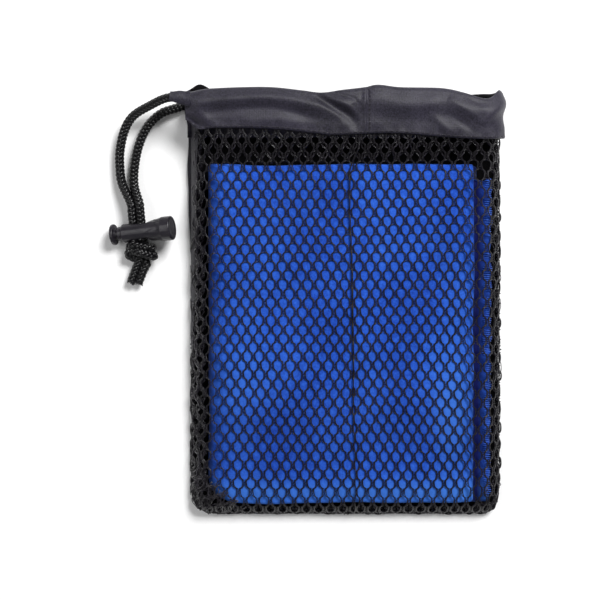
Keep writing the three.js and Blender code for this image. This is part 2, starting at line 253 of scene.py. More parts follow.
class Nodes:
    """A short way to wire shader nodes: Nodes("name") starts a material with a Principled shader."""

    def __init__(self, name):
        self.material = bpy.data.materials.new(name)
        self.material.use_nodes = True
        self.tree = self.material.node_tree
        self.shader = self.tree.nodes["Principled BSDF"]
        self.where = self.add("ShaderNodeTexCoord").outputs["Object"]

    def add(self, kind, **settings):
        node = self.tree.nodes.new(kind)
        for key, value in settings.items():
            setattr(node, key, value)
        return node

    def feed(self, value, socket):
        """Links another node's output to a socket, or sets a plain value there."""
        if hasattr(value, "is_output"):
            self.tree.links.new(value, socket)
        else:
            socket.default_value = value

    def put(self, node, **inputs):
        for key, value in inputs.items():
            self.feed(value, node.inputs[key.replace("_", " ")])

    def output(self, kind, name, **inputs):
        """One output of a new node with these inputs."""
        node = self.add(kind)
        self.put(node, **inputs)
        return node.outputs[name]

    def noise(self, scale, detail=3.0, vector=None, rough=0.5):
        return self.output("ShaderNodeTexNoise", "Fac", Scale=scale, Detail=detail, Roughness=rough,
                           Vector=vector or self.where)

    def stretched(self, scale, turn=(0, 0, 0)):
        return self.output("ShaderNodeMapping", "Vector", Vector=self.where, Scale=scale, Rotation=turn)

    def ramp(self, value, stops):
        node = self.add("ShaderNodeValToRGB")
        ramp = node.color_ramp
        while len(ramp.elements) < len(stops):
            ramp.elements.new(0.5)
        for element, (place, colour) in zip(ramp.elements, stops):
            element.position = place
            element.color = (*colour, 1)
        self.put(node, Fac=value)
        return node.outputs["Color"]

    def math(self, operation, *values):
        node = self.add("ShaderNodeMath", operation=operation)
        for value, socket in zip(values, node.inputs):
            self.feed(value, socket)
        return node.outputs[0]

    def weighted(self, first, *others):
        """The sum of (value, weight) pairs."""
        total = self.math("MULTIPLY", *first)
        for pair in others:
            total = self.math("ADD", total, self.math("MULTIPLY", *pair))
        return total

    def drawn_to(self, colour, target, attribute):
        """A colour drawn towards a target by an attribute of the vertices."""
        node = self.add("ShaderNodeMix", data_type="RGBA")
        share = self.add("ShaderNodeAttribute", attribute_name=attribute).outputs["Fac"]
        for socket, value in (("Factor", share), (6, colour), (7, (*target, 1))):
            self.feed(value, node.inputs[socket])
        return node.outputs[2]

    def bump(self, height, strength, distance, **under):
        return self.output("ShaderNodeBump", "Normal", Height=height, Strength=strength, Distance=distance,
                           **under)

    def finish(self, **inputs):
        self.put(self.shader, **inputs)
        return self.material


def linear(red, green, blue):
    """Linear colour from the 0 to 255 numbers of a screen colour."""
    return tuple((c / 255 / 12.92) if c <= 10 else ((c / 255 + 0.055) / 1.055) ** 2.4
                 for c in (red, green, blue))


def weave(nodes, pitch):
    """A plain weave's height: two crossed sets of threads, pitch metres apart."""
    heights = []
    for direction in ("X", "Y"):
        wave = nodes.add("ShaderNodeTexWave", bands_direction=direction, wave_profile="SIN")
        nodes.put(wave, Vector=nodes.where, Scale=0.1 / pitch, Distortion=0.4, Detail=1.0, Detail_Scale=2.0)
        heights.append(wave.outputs["Fac"])
    return nodes.math("MULTIPLY", *heights)


def satin_material(name, dark, light, gloss, rough):
    nodes = Nodes(name)
    broad = nodes.noise(35.0, 4.0)
    fine = nodes.noise(1500.0, 4.0, vector=nodes.stretched((1, 0.7, 1)), rough=0.8)
    tone = nodes.weighted((broad, 0.3), (fine, 0.7))
    colour = nodes.ramp(tone, [(0.38, linear(*dark)), (0.62, linear(*light))])
    uneven_rough = nodes.math("ADD", nodes.math("MULTIPLY", fine, 0.12), rough)
    normal = nodes.bump(weave(nodes, 0.00032), 0.3, 0.00006, Normal=nodes.bump(fine, 0.8, 0.00016))
    return nodes.finish(Base_Color=colour, Roughness=uneven_rough, Specular_IOR_Level=gloss, Normal=normal,
                        Sheen_Weight=0.1, Sheen_Roughness=0.4, Sheen_Tint=(0.8, 0.78, 0.9, 1))


def yarn_material(name, dark, light, gloss, rough, sheen=0.0):
    nodes = Nodes(name)
    strand = nodes.noise(5200.0, 2.0, vector=nodes.stretched((1, 0.3, 1), (0, 0, 0.6)))
    tone = nodes.weighted((strand, 0.65), (nodes.noise(60.0, 2.0), 0.35))
    colour = nodes.ramp(tone, [(0.32, linear(*dark)), (0.68, linear(*light))])
    return nodes.finish(Base_Color=colour, Roughness=rough, Sheen_Weight=sheen, Sheen_Roughness=0.35,
                        Specular_IOR_Level=gloss, Normal=nodes.bump(strand, 0.6, 0.00008))


def cut_fibre_material():
    """Black fibres, with a few pale points painted on as glints."""
    nodes = Nodes("cut_cord_fibres")
    spots = nodes.noise(1400.0, 1.0)
    # Painted glints: the pale stop lights a few points of the cut ends.
    colour = nodes.ramp(spots, [(0.0, linear(14, 13, 15)), (0.58, linear(30, 28, 32)),
                                (0.64, linear(220, 218, 214))])
    return nodes.finish(Base_Color=colour, Roughness=0.4, Normal=nodes.bump(spots, 0.3, 0.0001))


def plastic_material():
    nodes = Nodes("charcoal_plastic")
    grain = nodes.noise(3800.0)
    broad = nodes.noise(220.0)
    scuff = nodes.noise(900.0, 6.0, vector=nodes.stretched((0.25, 1, 1), (0, 0.2, 0.4)))
    colour = nodes.ramp(broad, [(0.3, linear(26, 24, 30)), (0.75, linear(38, 35, 42))])
    rough = nodes.ramp(scuff, [(0.42, (0.3, 0.3, 0.3)), (0.72, (0.46, 0.46, 0.46))])
    return nodes.finish(Base_Color=colour, Roughness=rough, Specular_IOR_Level=0.42,
                        Normal=nodes.bump(grain, 0.12, 0.00005))


def steel_material():
    nodes = Nodes("spring_steel")
    drawn = nodes.noise(2400.0, 2.0, vector=nodes.stretched((0.1, 1, 1)))
    colour = nodes.ramp(drawn, [(0.3, (0.42, 0.42, 0.43)), (0.7, (0.62, 0.62, 0.63))])
    return nodes.finish(Base_Color=colour, Metallic=1.0, Roughness=0.28,
                        Normal=nodes.bump(drawn, 0.1, 0.00003))


def towel_material():
    nodes = Nodes("blue_suede_microfibre")
    nap_and_painted_highlight = nodes.noise(420.0, 5.0, rough=0.65)
    pile = nodes.noise(1700.0, 4.0, rough=0.8)
    stroke = nodes.noise(46.0, 3.0, vector=nodes.stretched((1, 0.45, 1), (0, 0, 0.5)))
    tone = nodes.weighted((nap_and_painted_highlight, 0.3), (pile, 0.45), (stroke, 0.25))
    colour = nodes.ramp(tone, [(0.38, linear(16, 50, 140)), (0.5, linear(30, 75, 178)),
                               (0.62, linear(46, 98, 206))])
    # Painted highlight: the towel is drawn towards light blue at its rounded front edge and soft side
    # patches.
    colour = nodes.drawn_to(colour, linear(66, 126, 222), "nap_and_painted_highlight")
    # Painted shade: the towel is drawn towards deep blue where the shade attribute is high.
    colour = nodes.drawn_to(colour, linear(8, 14, 74), "shade")
    normal = nodes.bump(pile, 0.5, 0.00018, Normal=nodes.bump(nap_and_painted_highlight, 0.35, 0.0005))
    return nodes.finish(Base_Color=colour, Roughness=0.92, Specular_IOR_Level=0.15, Sheen_Weight=0.25,
                        Sheen_Roughness=0.45, Sheen_Tint=(0.35, 0.6, 1.0, 1), Normal=normal)


def floor_material():
    nodes = Nodes("white_board")
    colour = nodes.ramp(nodes.noise(900.0, 2.0), [(0.3, (0.94, 0.94, 0.94)), (0.7, (0.96, 0.96, 0.96))])
    return nodes.finish(Base_Color=colour, Roughness=0.75, Specular_IOR_Level=0.1)


SATIN = satin_material("charcoal_satin", (17, 16, 23), (52, 49, 63), gloss=0.32, rough=0.44)
# Painted shade: a darker copy of the satin for the back panel's turned edge, which lies low beside the net.
SHADED_EDGE_SATIN = satin_material("charcoal_satin_edge_painted_shade", (12, 11, 16), (34, 32, 41), gloss=0.24, rough=0.5)
# Painted shade: a near-black copy of the satin for the pouch's inside, which is only in shadow.
PAINTED_INTERIOR_SHADE = satin_material("satin_painted_interior_shade", (5, 5, 6), (11, 10, 12), gloss=0.05, rough=0.7)
NET_YARN = yarn_material("black_net_yarn", (5, 4, 6), (31, 28, 34), gloss=0.26, rough=0.3)
# Painted highlight: a lighter copy of the net yarn for the turned-in layers, so their threads look lit.
INNER_NET_YARN_PAINTED_LIGHT = yarn_material("black_net_yarn_turned_in_painted_highlight", (6, 6, 8), (52, 48, 57), gloss=0.5, rough=0.26)
CORD_YARN = yarn_material("black_cord_yarn", (3, 3, 4), (15, 14, 17), gloss=0.38, rough=0.28)
CUT_YARN = cut_fibre_material()
THREAD = yarn_material("charcoal_sewing_thread", (30, 28, 34), (60, 57, 66), 0.2, 0.62, sheen=0.3)
BLUE_THREAD = yarn_material("blue_overlock_thread", (22, 60, 165), (60, 115, 225), 0.2, 0.62, sheen=0.3)
PLASTIC = plastic_material()
STEEL = steel_material()
SUEDE = towel_material()


# ---------------- shape of the pouch

# Half the pouch's width, its lower end and the net's upper end, and the slope of the towel's way out.
HALF = NET_HIGH[0]
BOTTOM = NET_LOW[1] - 0.9
NET_TOP = NET_HIGH[1]
RISE = JOINTS["towel_slide"]["axis"][2] / JOINTS["towel_slide"]["axis"][1]
TOWEL_TOP_Z = TOWEL_HIGH[2] - (TOWEL_HIGH[1] - TOWEL_LOW[1]) * RISE
PANEL_THICK = 0.4
PANEL_CORNER_R = 9

# The net's lowest height, its gap over the towel, how far it turns down at the sides and the bottom,
# the reach of its rounded lower corners, and the width of cloth in the pleat.
FOOT = PANEL_TOP + 0.4
NET_GAP = 0.42
SIDE_WRAP = 5
BOTTOM_WRAP = 11
CORNER_REACH = 12
TUCK = 4.2

# One leaf's thickness and pitch, the free edges of the leaves at the right, the second leaf's start
# below the far end, and the outer radius of the fold at the left.
LEAF = 2.8
PITCH = LEAF + 0.35
BASE_Z = TOWEL_LOW[2]
SECOND_EDGE = THREAD_LOW[0] - 0.3
TOP_EDGE = SECOND_EDGE - 7.4
LOWER_EDGE = TOP_EDGE + 1.8
SECOND_START = 8.0
FOLD_R = 1.5 * PITCH + LEAF / 2
TOWEL_ROUNDING = 1.4
TOWEL_CORNER_R = 11.0


def leaf_level(leaf):
    """Height of the middle of one of the towel's four leaves above the lowest face."""
    return LEAF / 2 + leaf * PITCH


TOP_LEAF_UNDERSIDE = leaf_level(3) - LEAF / 2


def towel_top(y):
    """Height of the towel's upper face at y."""
    return TOWEL_TOP_Z + (y - TOWEL_LOW[1]) * RISE


def towel_relief(x, y):
    """Unevenness of the towel's upper face, which the net follows."""
    swell = 0.4 * ripple(x, y, 81, 34, 42) + 0.14 * ripple(x, y, 82, 11, 13)
    end_sag = 2.2 * bump((y - TOWEL_LOW[1]) / 6.0) + 0.8 * bump((TOWEL_HIGH[1] - y) / 5.0)
    return swell - end_sag


def towel_skin(x, y):
    """Height of the towel's upper face, falling away round its folded left side; 0 beside the towel."""
    past_fold = np.clip(TOWEL_LOW[0] + FOLD_R - x, 0, FOLD_R)
    drop = FOLD_R - np.sqrt(FOLD_R**2 - past_fold**2)
    height = towel_top(y) + towel_relief(x, y) - drop
    over = (x > TOWEL_LOW[0]) & (x < TOP_EDGE + 0.6) & (y > TOWEL_LOW[1] + 0.4) & (y < TOWEL_HIGH[1])
    return np.where(over, height, 0.0)


def net_crown(x, y):
    """Height of the net over the pouch: on the towel, then up to the header."""
    inside = np.clip(y, TOWEL_LOW[1] + 3, TOWEL_HIGH[1] - 3)
    over = towel_top(inside) + np.maximum(towel_relief(x, inside), -0.6) + 0.75
    past = ease((y - TOWEL_HIGH[1] + 3) / (NET_TOP - TOWEL_HIGH[1] + 3))
    return over + past * (NET_HIGH[2] - 1.3 - over)


def shoulder(distance, edge=10.5):
    """Share of the full height reached at a distance in from the hem."""
    t = np.clip(distance / edge, 0, 1)
    return (1 - (1 - t) ** 2.3) ** 0.8


def pleat_x(y):
    """The tuck in the net's middle leans left from the header seam, then runs nearly straight."""
    lower = 1.6 + (y - BOTTOM) * 0.012
    return lower + 4.6 * ease((y - TOWEL_HIGH[1] + 4) / (NET_TOP - TOWEL_HIGH[1] + 2))


def turned_down(distance, flat, wrap, stretch):
    """Plan distance for a length of cloth that runs flat, then turns down over an edge."""
    over = np.clip((distance - flat) / (wrap * stretch), 0, 1)
    return np.where(distance < flat, distance, flat + wrap * np.sin(over * math.pi / 2))


def net_point(s, v):
    """Place of the net's fabric at s across and v up, both lengths in the cloth.

    The cloth is a little wider than the pouch, and the pleat takes up the difference.
    """
    s, v = np.broadcast_arrays(np.asarray(s, float), np.asarray(v, float))
    x = np.sign(s) * turned_down(np.abs(s), HALF - SIDE_WRAP, SIDE_WRAP, 2.0)
    y = -turned_down(-v, -BOTTOM - BOTTOM_WRAP, BOTTOM_WRAP, 1.32)
    into_side = np.clip((np.abs(x) - HALF + CORNER_REACH) / CORNER_REACH, 0, 1)
    corner = into_side * np.clip((BOTTOM + CORNER_REACH - y) / CORNER_REACH, 0, 1)
    x = x - np.sign(x) * 3.4 * corner**1.5
    y = y + 2.6 * corner**1.5
    tuck = TUCK - 1.9 * ease((TOWEL_LOW[1] + 90 - y) / 90)
    gap = x - pleat_x(y)
    x = x + tuck * (0.5 - ease(gap / 5.0 + 0.5)) * (1 - np.clip(np.abs(gap) / 64, 0, 1)) ** 0.8
    inside = 1 - np.clip(np.abs(x) / HALF, 0, 1) ** 4
    left_margin = ease((-x - (HALF - 12)) / 8)
    x = x - (0.03 * (y + 10) - 0.55 * ripple(s, v, 11, 46, 60)) * inside
    x = x + 0.5 * ripple(s, v, 12, 9, 11) * left_margin
    y = y + 0.6 * ripple(s, v, 15, 50, 50) * ease((v - BOTTOM - 6) / 12) * (1 - ease((v - NET_TOP + 8) / 8))
    y = y + 0.5 * ripple(s, v, 16, 10, 12) * left_margin
    lift = shoulder(HALF - np.abs(x)) * shoulder(y - BOTTOM)
    z = FOOT + (net_crown(x, y) - FOOT) * lift
    z = z + bump(gap / 1.6) * (tuck / TUCK) * inside
    z = z + 0.5 * ripple(s, v, 14, 10, 12) * (left_margin + ease((np.abs(x) - HALF + 6) / 6))
    return at(x, y, np.maximum(z, FOOT))


def net_over_towel(s, v):
    """The net's fabric, kept clear of the towel."""
    point = net_point(s, v)
    point[..., 2] = np.maximum(point[..., 2], towel_skin(point[..., 0], point[..., 1]) + NET_GAP)
    return point


# ---------------- net

# Pitches of the knit's columns and rows, its egg-shaped openings, and the yarns' radii beside and
# between the openings.
COLUMN_PITCH = 2.65
ROW_PITCH = 4.05
OPENING_HALF_WIDTH = 1.9
OPENING_HALF_HEIGHT = 2.5
OPENING_FULLNESS = 2.7
BORDER_RADIUS = 0.265
INNER_RADIUS = 0.14
EYE_PITCH = 1.15


def opening_half_width(offset):
    """Half the width of an egg-shaped opening at a height above its middle; 0 past its ends."""
    t = np.clip(offset / OPENING_HALF_HEIGHT, -1, 1)
    return OPENING_HALF_WIDTH * np.sqrt(1 - np.abs(t) ** OPENING_FULLNESS) * (1 + 0.12 * t)


def net_yarns(surface, s_range, v_range, strand, steps_per_row=10, phase=0.0):
    """Paths and radii of one of the two yarns in every chain of a knitted net laid on a surface.

    Openings stand in columns, staggered by one row from column to column. Each chain runs between
    two columns. Its strong yarns border the openings beside it; in the legs between two openings of
    a column they thin out and weave, which leaves a few small eyes there.
    """
    rows = (v_range[1] - v_range[0]) / ROW_PITCH
    v = np.linspace(v_range[0], v_range[1], int(rows * steps_per_row) + 1)
    chains = np.arange(math.ceil(s_range[0] / COLUMN_PITCH), math.floor(s_range[1] / COLUMN_PITCH))
    column = (chains + strand)[:, None]
    height = v + phase * ROW_PITCH + ROW_PITCH * (column % 2)
    from_opening = np.mod(height, 2 * ROW_PITCH) - ROW_PITCH
    from_leg = np.mod(height + ROW_PITCH, 2 * ROW_PITCH) - ROW_PITCH
    in_leg = np.clip((np.abs(from_opening) - OPENING_HALF_HEIGHT + 0.1) / 0.5, 0, 1)
    eyes = (0.3 + 0.24 * np.cos(2 * math.pi * from_leg / EYE_PITCH)) * in_leg
    hand = 1 if strand else -1
    s = column * COLUMN_PITCH - hand * (opening_half_width(from_opening) + eyes)
    v = np.broadcast_to(v, s.shape)
    paths = surface(s, v + 0.12 * ripple(s, v, 21, 7, 9))
    paths[..., 2] += 0.15 * hand * np.sin(math.pi * from_leg / EYE_PITCH) * in_leg
    return paths, BORDER_RADIUS - (BORDER_RADIUS - INNER_RADIUS) * in_leg


def net_laps(surface, s_range, v_range):
    """Short threads that tie the two chains of every leg together, two to a leg."""
    across = np.linspace(-1, 1, 5)
    ties = []
    for row in range(math.ceil(v_range[0] / ROW_PITCH), math.floor(v_range[1] / ROW_PITCH) + 1):
        columns = np.arange(math.ceil(s_range[0] / COLUMN_PITCH), s_range[1] / COLUMN_PITCH)
        legs = columns[columns % 2 == row % 2] * COLUMN_PITCH
        for tier in (-0.6, 0.6):
            s = legs[:, None] + 0.8 * across
            v = row * ROW_PITCH + tier + 0.22 * across + 0 * s
            path = surface(s, v)
            path[..., 2] += 0.24 * (1 - across**2)
            ties.append(path)
    return np.concatenate(ties)


def edge_loops(side_pitch, bottom_pitch):
    """Loose half meshes that stand out past the right and bottom seams."""
    arc = np.linspace(0, math.pi, 13)
    loops = []
    draw = np.random.default_rng(26)
    for y in np.arange(BOTTOM + 16, NET_TOP - 14, side_pitch):
        out, tall = draw.uniform(0.5, 1.5), draw.uniform(2.0, 3.2)
        x = HALF - 0.8 + out * np.sin(arc) ** 0.6
        z = FOOT + draw.uniform(0.6, 3.0)
        loops.append(at(x, y + draw.uniform(-0.8, 0.8) - tall * np.cos(arc), z))
    for x in np.arange(-HALF + 12, HALF - 8, bottom_pitch):
        out, wide = draw.uniform(0.5, 1.3), draw.uniform(1.6, 2.3)
        y = BOTTOM + 0.9 - out * np.sin(arc)
        z = FOOT + draw.uniform(0.3, 1.2)
        loops.append(at(x + draw.uniform(-0.6, 0.6) - wide * np.cos(arc), y, z))
    loops = np.array(loops)
    return np.concatenate([loops, loops + [-0.3, 0.25, 0.15]])


def build_net():
    wrapped = 5.2
    s_range = (-HALF - wrapped, HALF + wrapped)
    v_range = (BOTTOM - 3.7, NET_TOP + 3.2)
    for strand, name in enumerate(("net_front_yarn_a", "net_front_yarn_b")):
        yarns = tubes(*net_yarns(net_over_towel, s_range, v_range, strand), sides=4)
        make_object(name, yarns, NET_YARN, "pouch", "net", "net_front")
    ties = tubes(net_laps(net_over_towel, s_range, v_range), 0.09, sides=4)
    loops = tubes(edge_loops(7.9, 4.6), 0.2, sides=5)
    make_object("net_front_laps", gather([ties, loops]), NET_YARN, "pouch", "net", "net_front")


def crumpled(layer, sink, spread):
    """The net's surface for a turned-in layer: lower than the front and crumpled."""
    def place(s, v):
        x, y, z = np.moveaxis(net_point(s, v), -1, 0)
        drift = ripple(s, v, 31 + layer, 8, 10)
        x = np.clip(x + spread * drift, -HALF - 0.4, HALF + 0.4)
        y = np.maximum(y + spread * ripple(s, v, 41 + layer, 9, 12), BOTTOM - 0.2)
        return at(x, y, np.maximum(FOOT + (z - FOOT) * sink + 0.4 * drift, FOOT))
    return place


def corner_gather(corner_x, turn, layer, sink=0.9):
    """Net bunched diagonally across a lower corner of the pouch."""
    cosine, sine = math.cos(turn), math.sin(turn)
    surface = crumpled(layer, sink, 0.7)

    def place(s, v):
        x = corner_x + s * cosine - v * sine
        y = BOTTOM + 10.5 + s * sine + v * cosine
        return surface(np.clip(x, -HALF - 4, HALF + 4), np.maximum(y, BOTTOM - 3))
    return place


def build_seam_allowance():
    """Crumpled turned-in layers of net along the sides and the bottom."""
    whole = (BOTTOM - 3.5, NET_TOP + 1)
    left = -HALF - 5
    strips = [
        (crumpled(0, 0.86, 0.45), (left, left + 14), whole, 0.45),
        (crumpled(1, 0.6, 0.6), (left, left + 12), whole, 0.2),
        (crumpled(2, 0.34, 0.6), (left, left + 14), whole, 0.7),
        (crumpled(10, 1.03, 0.7), (left, left + 11), whole, 0.55),
        (crumpled(13, 0.96, 0.5), (-HALF + 4, HALF - 4), (NET_TOP - 12, NET_TOP + 1), 0.4),
        (crumpled(3, 0.8, 0.5), (HALF - 3.5, HALF + 5), whole, 0.4),
        (crumpled(4, 0.45, 0.6), (HALF - 4.5, HALF + 5), whole, 0.1),
        (crumpled(5, 0.7, 0.5), (-HALF - 3, HALF + 3), (BOTTOM - 3.5, BOTTOM + 4.5), 0.45),
        (crumpled(6, 0.4, 0.5), (-HALF - 3, HALF + 3), (BOTTOM - 3.5, BOTTOM + 5.5), 0.8),
        (corner_gather(-HALF + 10.5, math.radians(-42), 7, 1.05), (-15, 15), (-11, 4), 0.3),
        (corner_gather(-HALF + 9.5, math.radians(-52), 8), (-15, 15), (-11, 3.5), 0.6),
        (corner_gather(-HALF + 9.5, math.radians(-30), 12, 1.02), (-13, 13), (-11, 3), 0.8),
        (corner_gather(HALF - 7.5, math.radians(48), 9), (-11, 11), (-8, 1), 0.3),
    ]
    parts = []
    for surface, s_range, v_range, phase in strips:
        for strand in (0, 1):
            paths, radius = net_yarns(surface, s_range, v_range, strand, steps_per_row=6, phase=phase)
            parts.append(tubes(paths, 0.68 * radius, sides=4))
    # The turned-in layers take the lighter painted-highlight copy of the net yarn.
    make_object("net_seam_allowance", gather(parts), INNER_NET_YARN_PAINTED_LIGHT, "pouch", "net", "net_front")


# ---------------- back panel

def thick_sheet(outer, inner):
    """A closed sheet from two grids of points, rows by columns; outer faces away from inner."""
    rows, columns = outer.shape[:2]
    count = rows * columns
    rim = np.concatenate([np.arange(columns), np.arange(1, rows) * columns + columns - 1,
                          (rows - 1) * columns + np.arange(columns - 2, -1, -1),
                          np.arange(rows - 2, 0, -1) * columns])
    ahead = np.roll(rim, -1)
    skirt = np.stack([rim, rim + count, ahead + count, ahead], -1)
    faces = np.vstack([grid_faces(rows, columns), grid_faces(rows, columns, start=count)[:, ::-1], skirt])
    return np.vstack([outer.reshape(-1, 3), inner.reshape(-1, 3)]), faces.tolist()


def paint_shade_inside(obj, inner):
    """Gives the near-black painted shade of the pouch's inside to the faces marked as inner."""
    obj.data.materials.append(PAINTED_INTERIOR_SHADE)
    for face, is_inner in zip(obj.data.polygons, inner):
        face.material_index = int(is_inner)


def build_back_panel():
    """The closed back of the pouch, with a rounded lower outline and soft unevenness."""
    u, t = np.meshgrid(np.linspace(1, -1, 150), np.linspace(0, 1, 190))
    low, high = BOTTOM + 0.2, HEAD_LOW[1] + 5.5
    y = low + t * (high - low)
    corner = np.clip((low + PANEL_CORNER_R - y) / PANEL_CORNER_R, 0, 1)
    half = HALF - 0.5 - PANEL_CORNER_R * (1 - np.sqrt(np.maximum(1 - corner**2, 0)))
    x = u * (half + 0.35 * wander(y, 51, 18))
    y = y + 0.5 * wander(x, 55, 22) * (1 - ease(t * 12))
    rim = np.minimum(HALF - np.abs(x), y - BOTTOM)
    wave = 0.3 + 0.3 * ripple(x, y, 52, 30, 44) + 0.12 * ripple(x, y, 56, 9, 14)
    z = np.clip(wave, 0, 0.9) * ease(rim / 8)
    outer = at(x, y, z)
    cloth = thick_sheet(outer, outer + [0, 0, PANEL_THICK])
    panel = make_object("back_panel_cloth", cloth, SATIN, "pouch", "satin", "back_panel")
    # The upward faces, inside the pouch, get the near-black painted shade.
    paint_shade_inside(panel, [face.normal.z > 0.3 for face in panel.data.polygons])


def build_turned_edge():
    """The back panel's left edge, turned round to the front and sewn down over the net."""
    length, full_width = 106.0, 4.1
    turn, down = np.meshgrid(np.linspace(0, 1, 26), np.linspace(0, 1, 150))
    y = HEAD_LOW[1] + 9 - down * length
    width = full_width * (1 - down**2.4) + 0.3 + 0.4 * wander(y, 57, 24)
    round_edge = np.clip(turn / 0.3, 0, 1)
    inward = np.clip((turn - 0.3) / 0.7, 0, 1) * width
    edge_x = -HALF - 0.9 + 0.45 * wander(y, 54, 22) + 1.6 * ease(down * 1.3)
    x = edge_x - 0.6 * np.sin(math.pi * round_edge) + inward
    over_net = FOOT + (net_crown(x, y) - FOOT) * shoulder(np.maximum(x + HALF, 0)) * (0.92 - 0.3 * down)
    under_header = 1 - ease(down * 9)
    lap_z = over_net + 1.9 + under_header + 0.45 * ripple(x, y, 53, 12, 14)
    z = 0.5 + (lap_z - 0.5) * (1 - np.cos(math.pi * round_edge)) / 2
    outer = at(x, y, np.maximum(z, 0.45))
    angle = math.pi * round_edge
    inner = outer + PANEL_THICK * at(np.sin(angle), 0, np.cos(angle))
    inner[..., 2] = np.maximum(inner[..., 2], 0.05)
    # The turned edge takes the darker painted-shade copy of the satin.
    make_object("back_panel_turned_edge", thick_sheet(outer, inner), SHADED_EDGE_SATIN, "pouch", "satin")


# ---------------- header

# Half the band's thickness over the cord and below it. Its course runs along the front, turns round at
# the right and comes back along the back; both ends are at the left, where the cord comes out.
BULGE_HALF = 2.5
FLAP_HALF = 0.62
FRONT_Z = HEAD_HIGH[2] - BULGE_HALF
BACK_Z = HEAD_LOW[2] + BULGE_HALF
TURN_R = (FRONT_Z - BACK_Z) / 2
TURN_X = HEAD_HIGH[0] - TURN_R - BULGE_HALF
HEAD_LEFT = HEAD_LOW[0]
STRAIGHT = TURN_X - HEAD_LEFT
COURSE = 2 * STRAIGHT + math.pi * TURN_R
CORD_Y = np.mean(corners("cord_run"), axis=0)[1]
SEAM_X = corners("header_joint_thread")[0][0] - 0.3
BAND_COLUMNS = 88
FOLD_DEPTH = 0.72
MOUTH_FLARE = 3.5


def header_course(run):
    """Place (x, z) and outward direction of the band's middle at a distance from its front left end."""
    angle = np.clip((run - STRAIGHT) / TURN_R, 0, math.pi)
    before = np.minimum(run, STRAIGHT)
    after = np.maximum(run - STRAIGHT - math.pi * TURN_R, 0)
    x = HEAD_LEFT + before + TURN_R * np.sin(angle) - after
    z = (FRONT_Z + BACK_Z) / 2 + TURN_R * np.cos(angle)
    return x, z, np.sin(angle), np.cos(angle)


def on_front(run):
    """1 on the front of the band, 0 on its back, changing over within the right turn."""
    return 1 - ease((run - STRAIGHT) / (math.pi * TURN_R))


def front_or_back(run, front, back):
    """A front value that changes over to a back value within the right turn."""
    share = on_front(run)
    return share * front + (1 - share) * back


def header_rim(run):
    """Height of the band's folded upper rim."""
    x = header_course(run)[0]
    front = soft_line(x, [(-80, 92.2), (-71, 93.2), (-60, 95.0), (-36, 95.7), (-20, 94.2), (-11, 93.2),
                          (-2, 94.4), (8, 95.6), (14, 96.7), (24, 95.6), (42, 95.2), (52, 93.2), (61, 90.6),
                          (65, 91.4), (69.6, 95.6), (80, 95.2)])
    back = soft_line(x, [(-80, 93.0), (-75, 94.0), (-70, 96.6), (-66, 99.4), (-62, 97.6), (-57, 94.4),
                         (-20, 93.4), (20, 94.4), (47, 93.2), (52, 94.4), (60, 95.0), (66, 95.2), (80, 94.4)])
    return front_or_back(run, front, back)


def header_foot(run):
    """Height of the band's lower edge."""
    x = header_course(run)[0]
    front = soft_line(x, [(-80, 81.8), (-71.6, 81.2), (-66, 77.2), (-58, 77.5), (-44, 77.5), (-29, 76.8),
                          (-14, 75.2), (-5, 74.4), (16, 75.2), (29, 74.8), (41, 73.7), (53, 72.9), (67, 72.6),
                          (80, 73.6)])
    return front_or_back(run, front, 75.0 + 0.7 * wander(x, 66, 60))


def corner_drop(x, y, run):
    """How far the band's lower left front corner hangs down."""
    return 2.2 * ease((-x - 62) / 8) * ease((84 - y) / 6) * on_front(run)


# Folds of the satin on the front, drawn up on each side of the joining seam: the points along each
# fold, its half width and its height, which is negative for a valley.
FRONT_FOLDS = [
    ([(-71, 86.2), (-64, 88.2), (-56, 89.6), (-43, 90.8), (-29, 90.6), (-19, 88), (-11, 84.6),
      (-4, 80.8)], 2.3, 0.95),
    ([(-62, 84.6), (-48, 86), (-34, 86.6), (-22, 84), (-12, 80.4)], 1.9, -0.75),
    ([(-47, 79), (-37, 80.6), (-27, 80.4), (-19, 78.2)], 3.0, 1.0),
    ([(-73, 84), (-68, 80.6), (-63, 77.6), (-60, 76)], 1.4, -1.5),
    ([(-70, 88), (-65, 84), (-61, 80.4), (-57, 78)], 1.8, 0.7),
    ([(-17, 94), (-14, 91.4), (-5.2, 86.6), (1.4, 82.6), (4.2, 77.5)], 2.0, -2.4),
    ([(-11.5, 93.6), (-7.6, 90.6), (-2.4, 88.4), (2.6, 85.2), (5.6, 81)], 1.6, 1.1),
    ([(-7, 93.6), (-1.8, 91.8), (3.4, 90), (6.6, 86.4)], 0.9, -0.8),
    ([(-15, 89.6), (-8, 85.4), (-3, 81.6), (-1.4, 77)], 1.5, 0.5),
    ([(3.5, 88.5), (5.6, 84), (5.2, 79.5), (3.8, 76)], 1.5, -1.0),
    ([(6.7, 94), (6.4, 88), (7.2, 82), (6.6, 76)], 0.9, -0.45),
    ([(8, 94), (8.2, 86), (8.2, 76)], 0.6, 0.4),
    ([(11, 86), (20, 86.8), (32, 86.2), (41, 87.6)], 3.2, 0.9),
    ([(13, 80.6), (24, 79.2), (34, 79), (40, 80.6)], 3.6, -0.75),
    ([(36, 83.4), (41, 80.2), (45, 76.6), (49, 74)], 2.1, 1.05),
    ([(44, 84.4), (50, 80.6), (55, 77.2), (60, 75)], 1.7, -0.7),
    ([(45, 90.4), (51, 86.2), (57, 82.4), (61, 79)], 2.0, 1.0),
    ([(70, 92), (67, 87), (63, 82.4), (60, 78.4)], 1.8, 0.95),
    ([(52, 92), (58, 88.6), (63, 88.2)], 1.9, -0.9),
    ([(62, 79), (66, 76.6), (69.6, 77)], 2.2, -0.9),
]


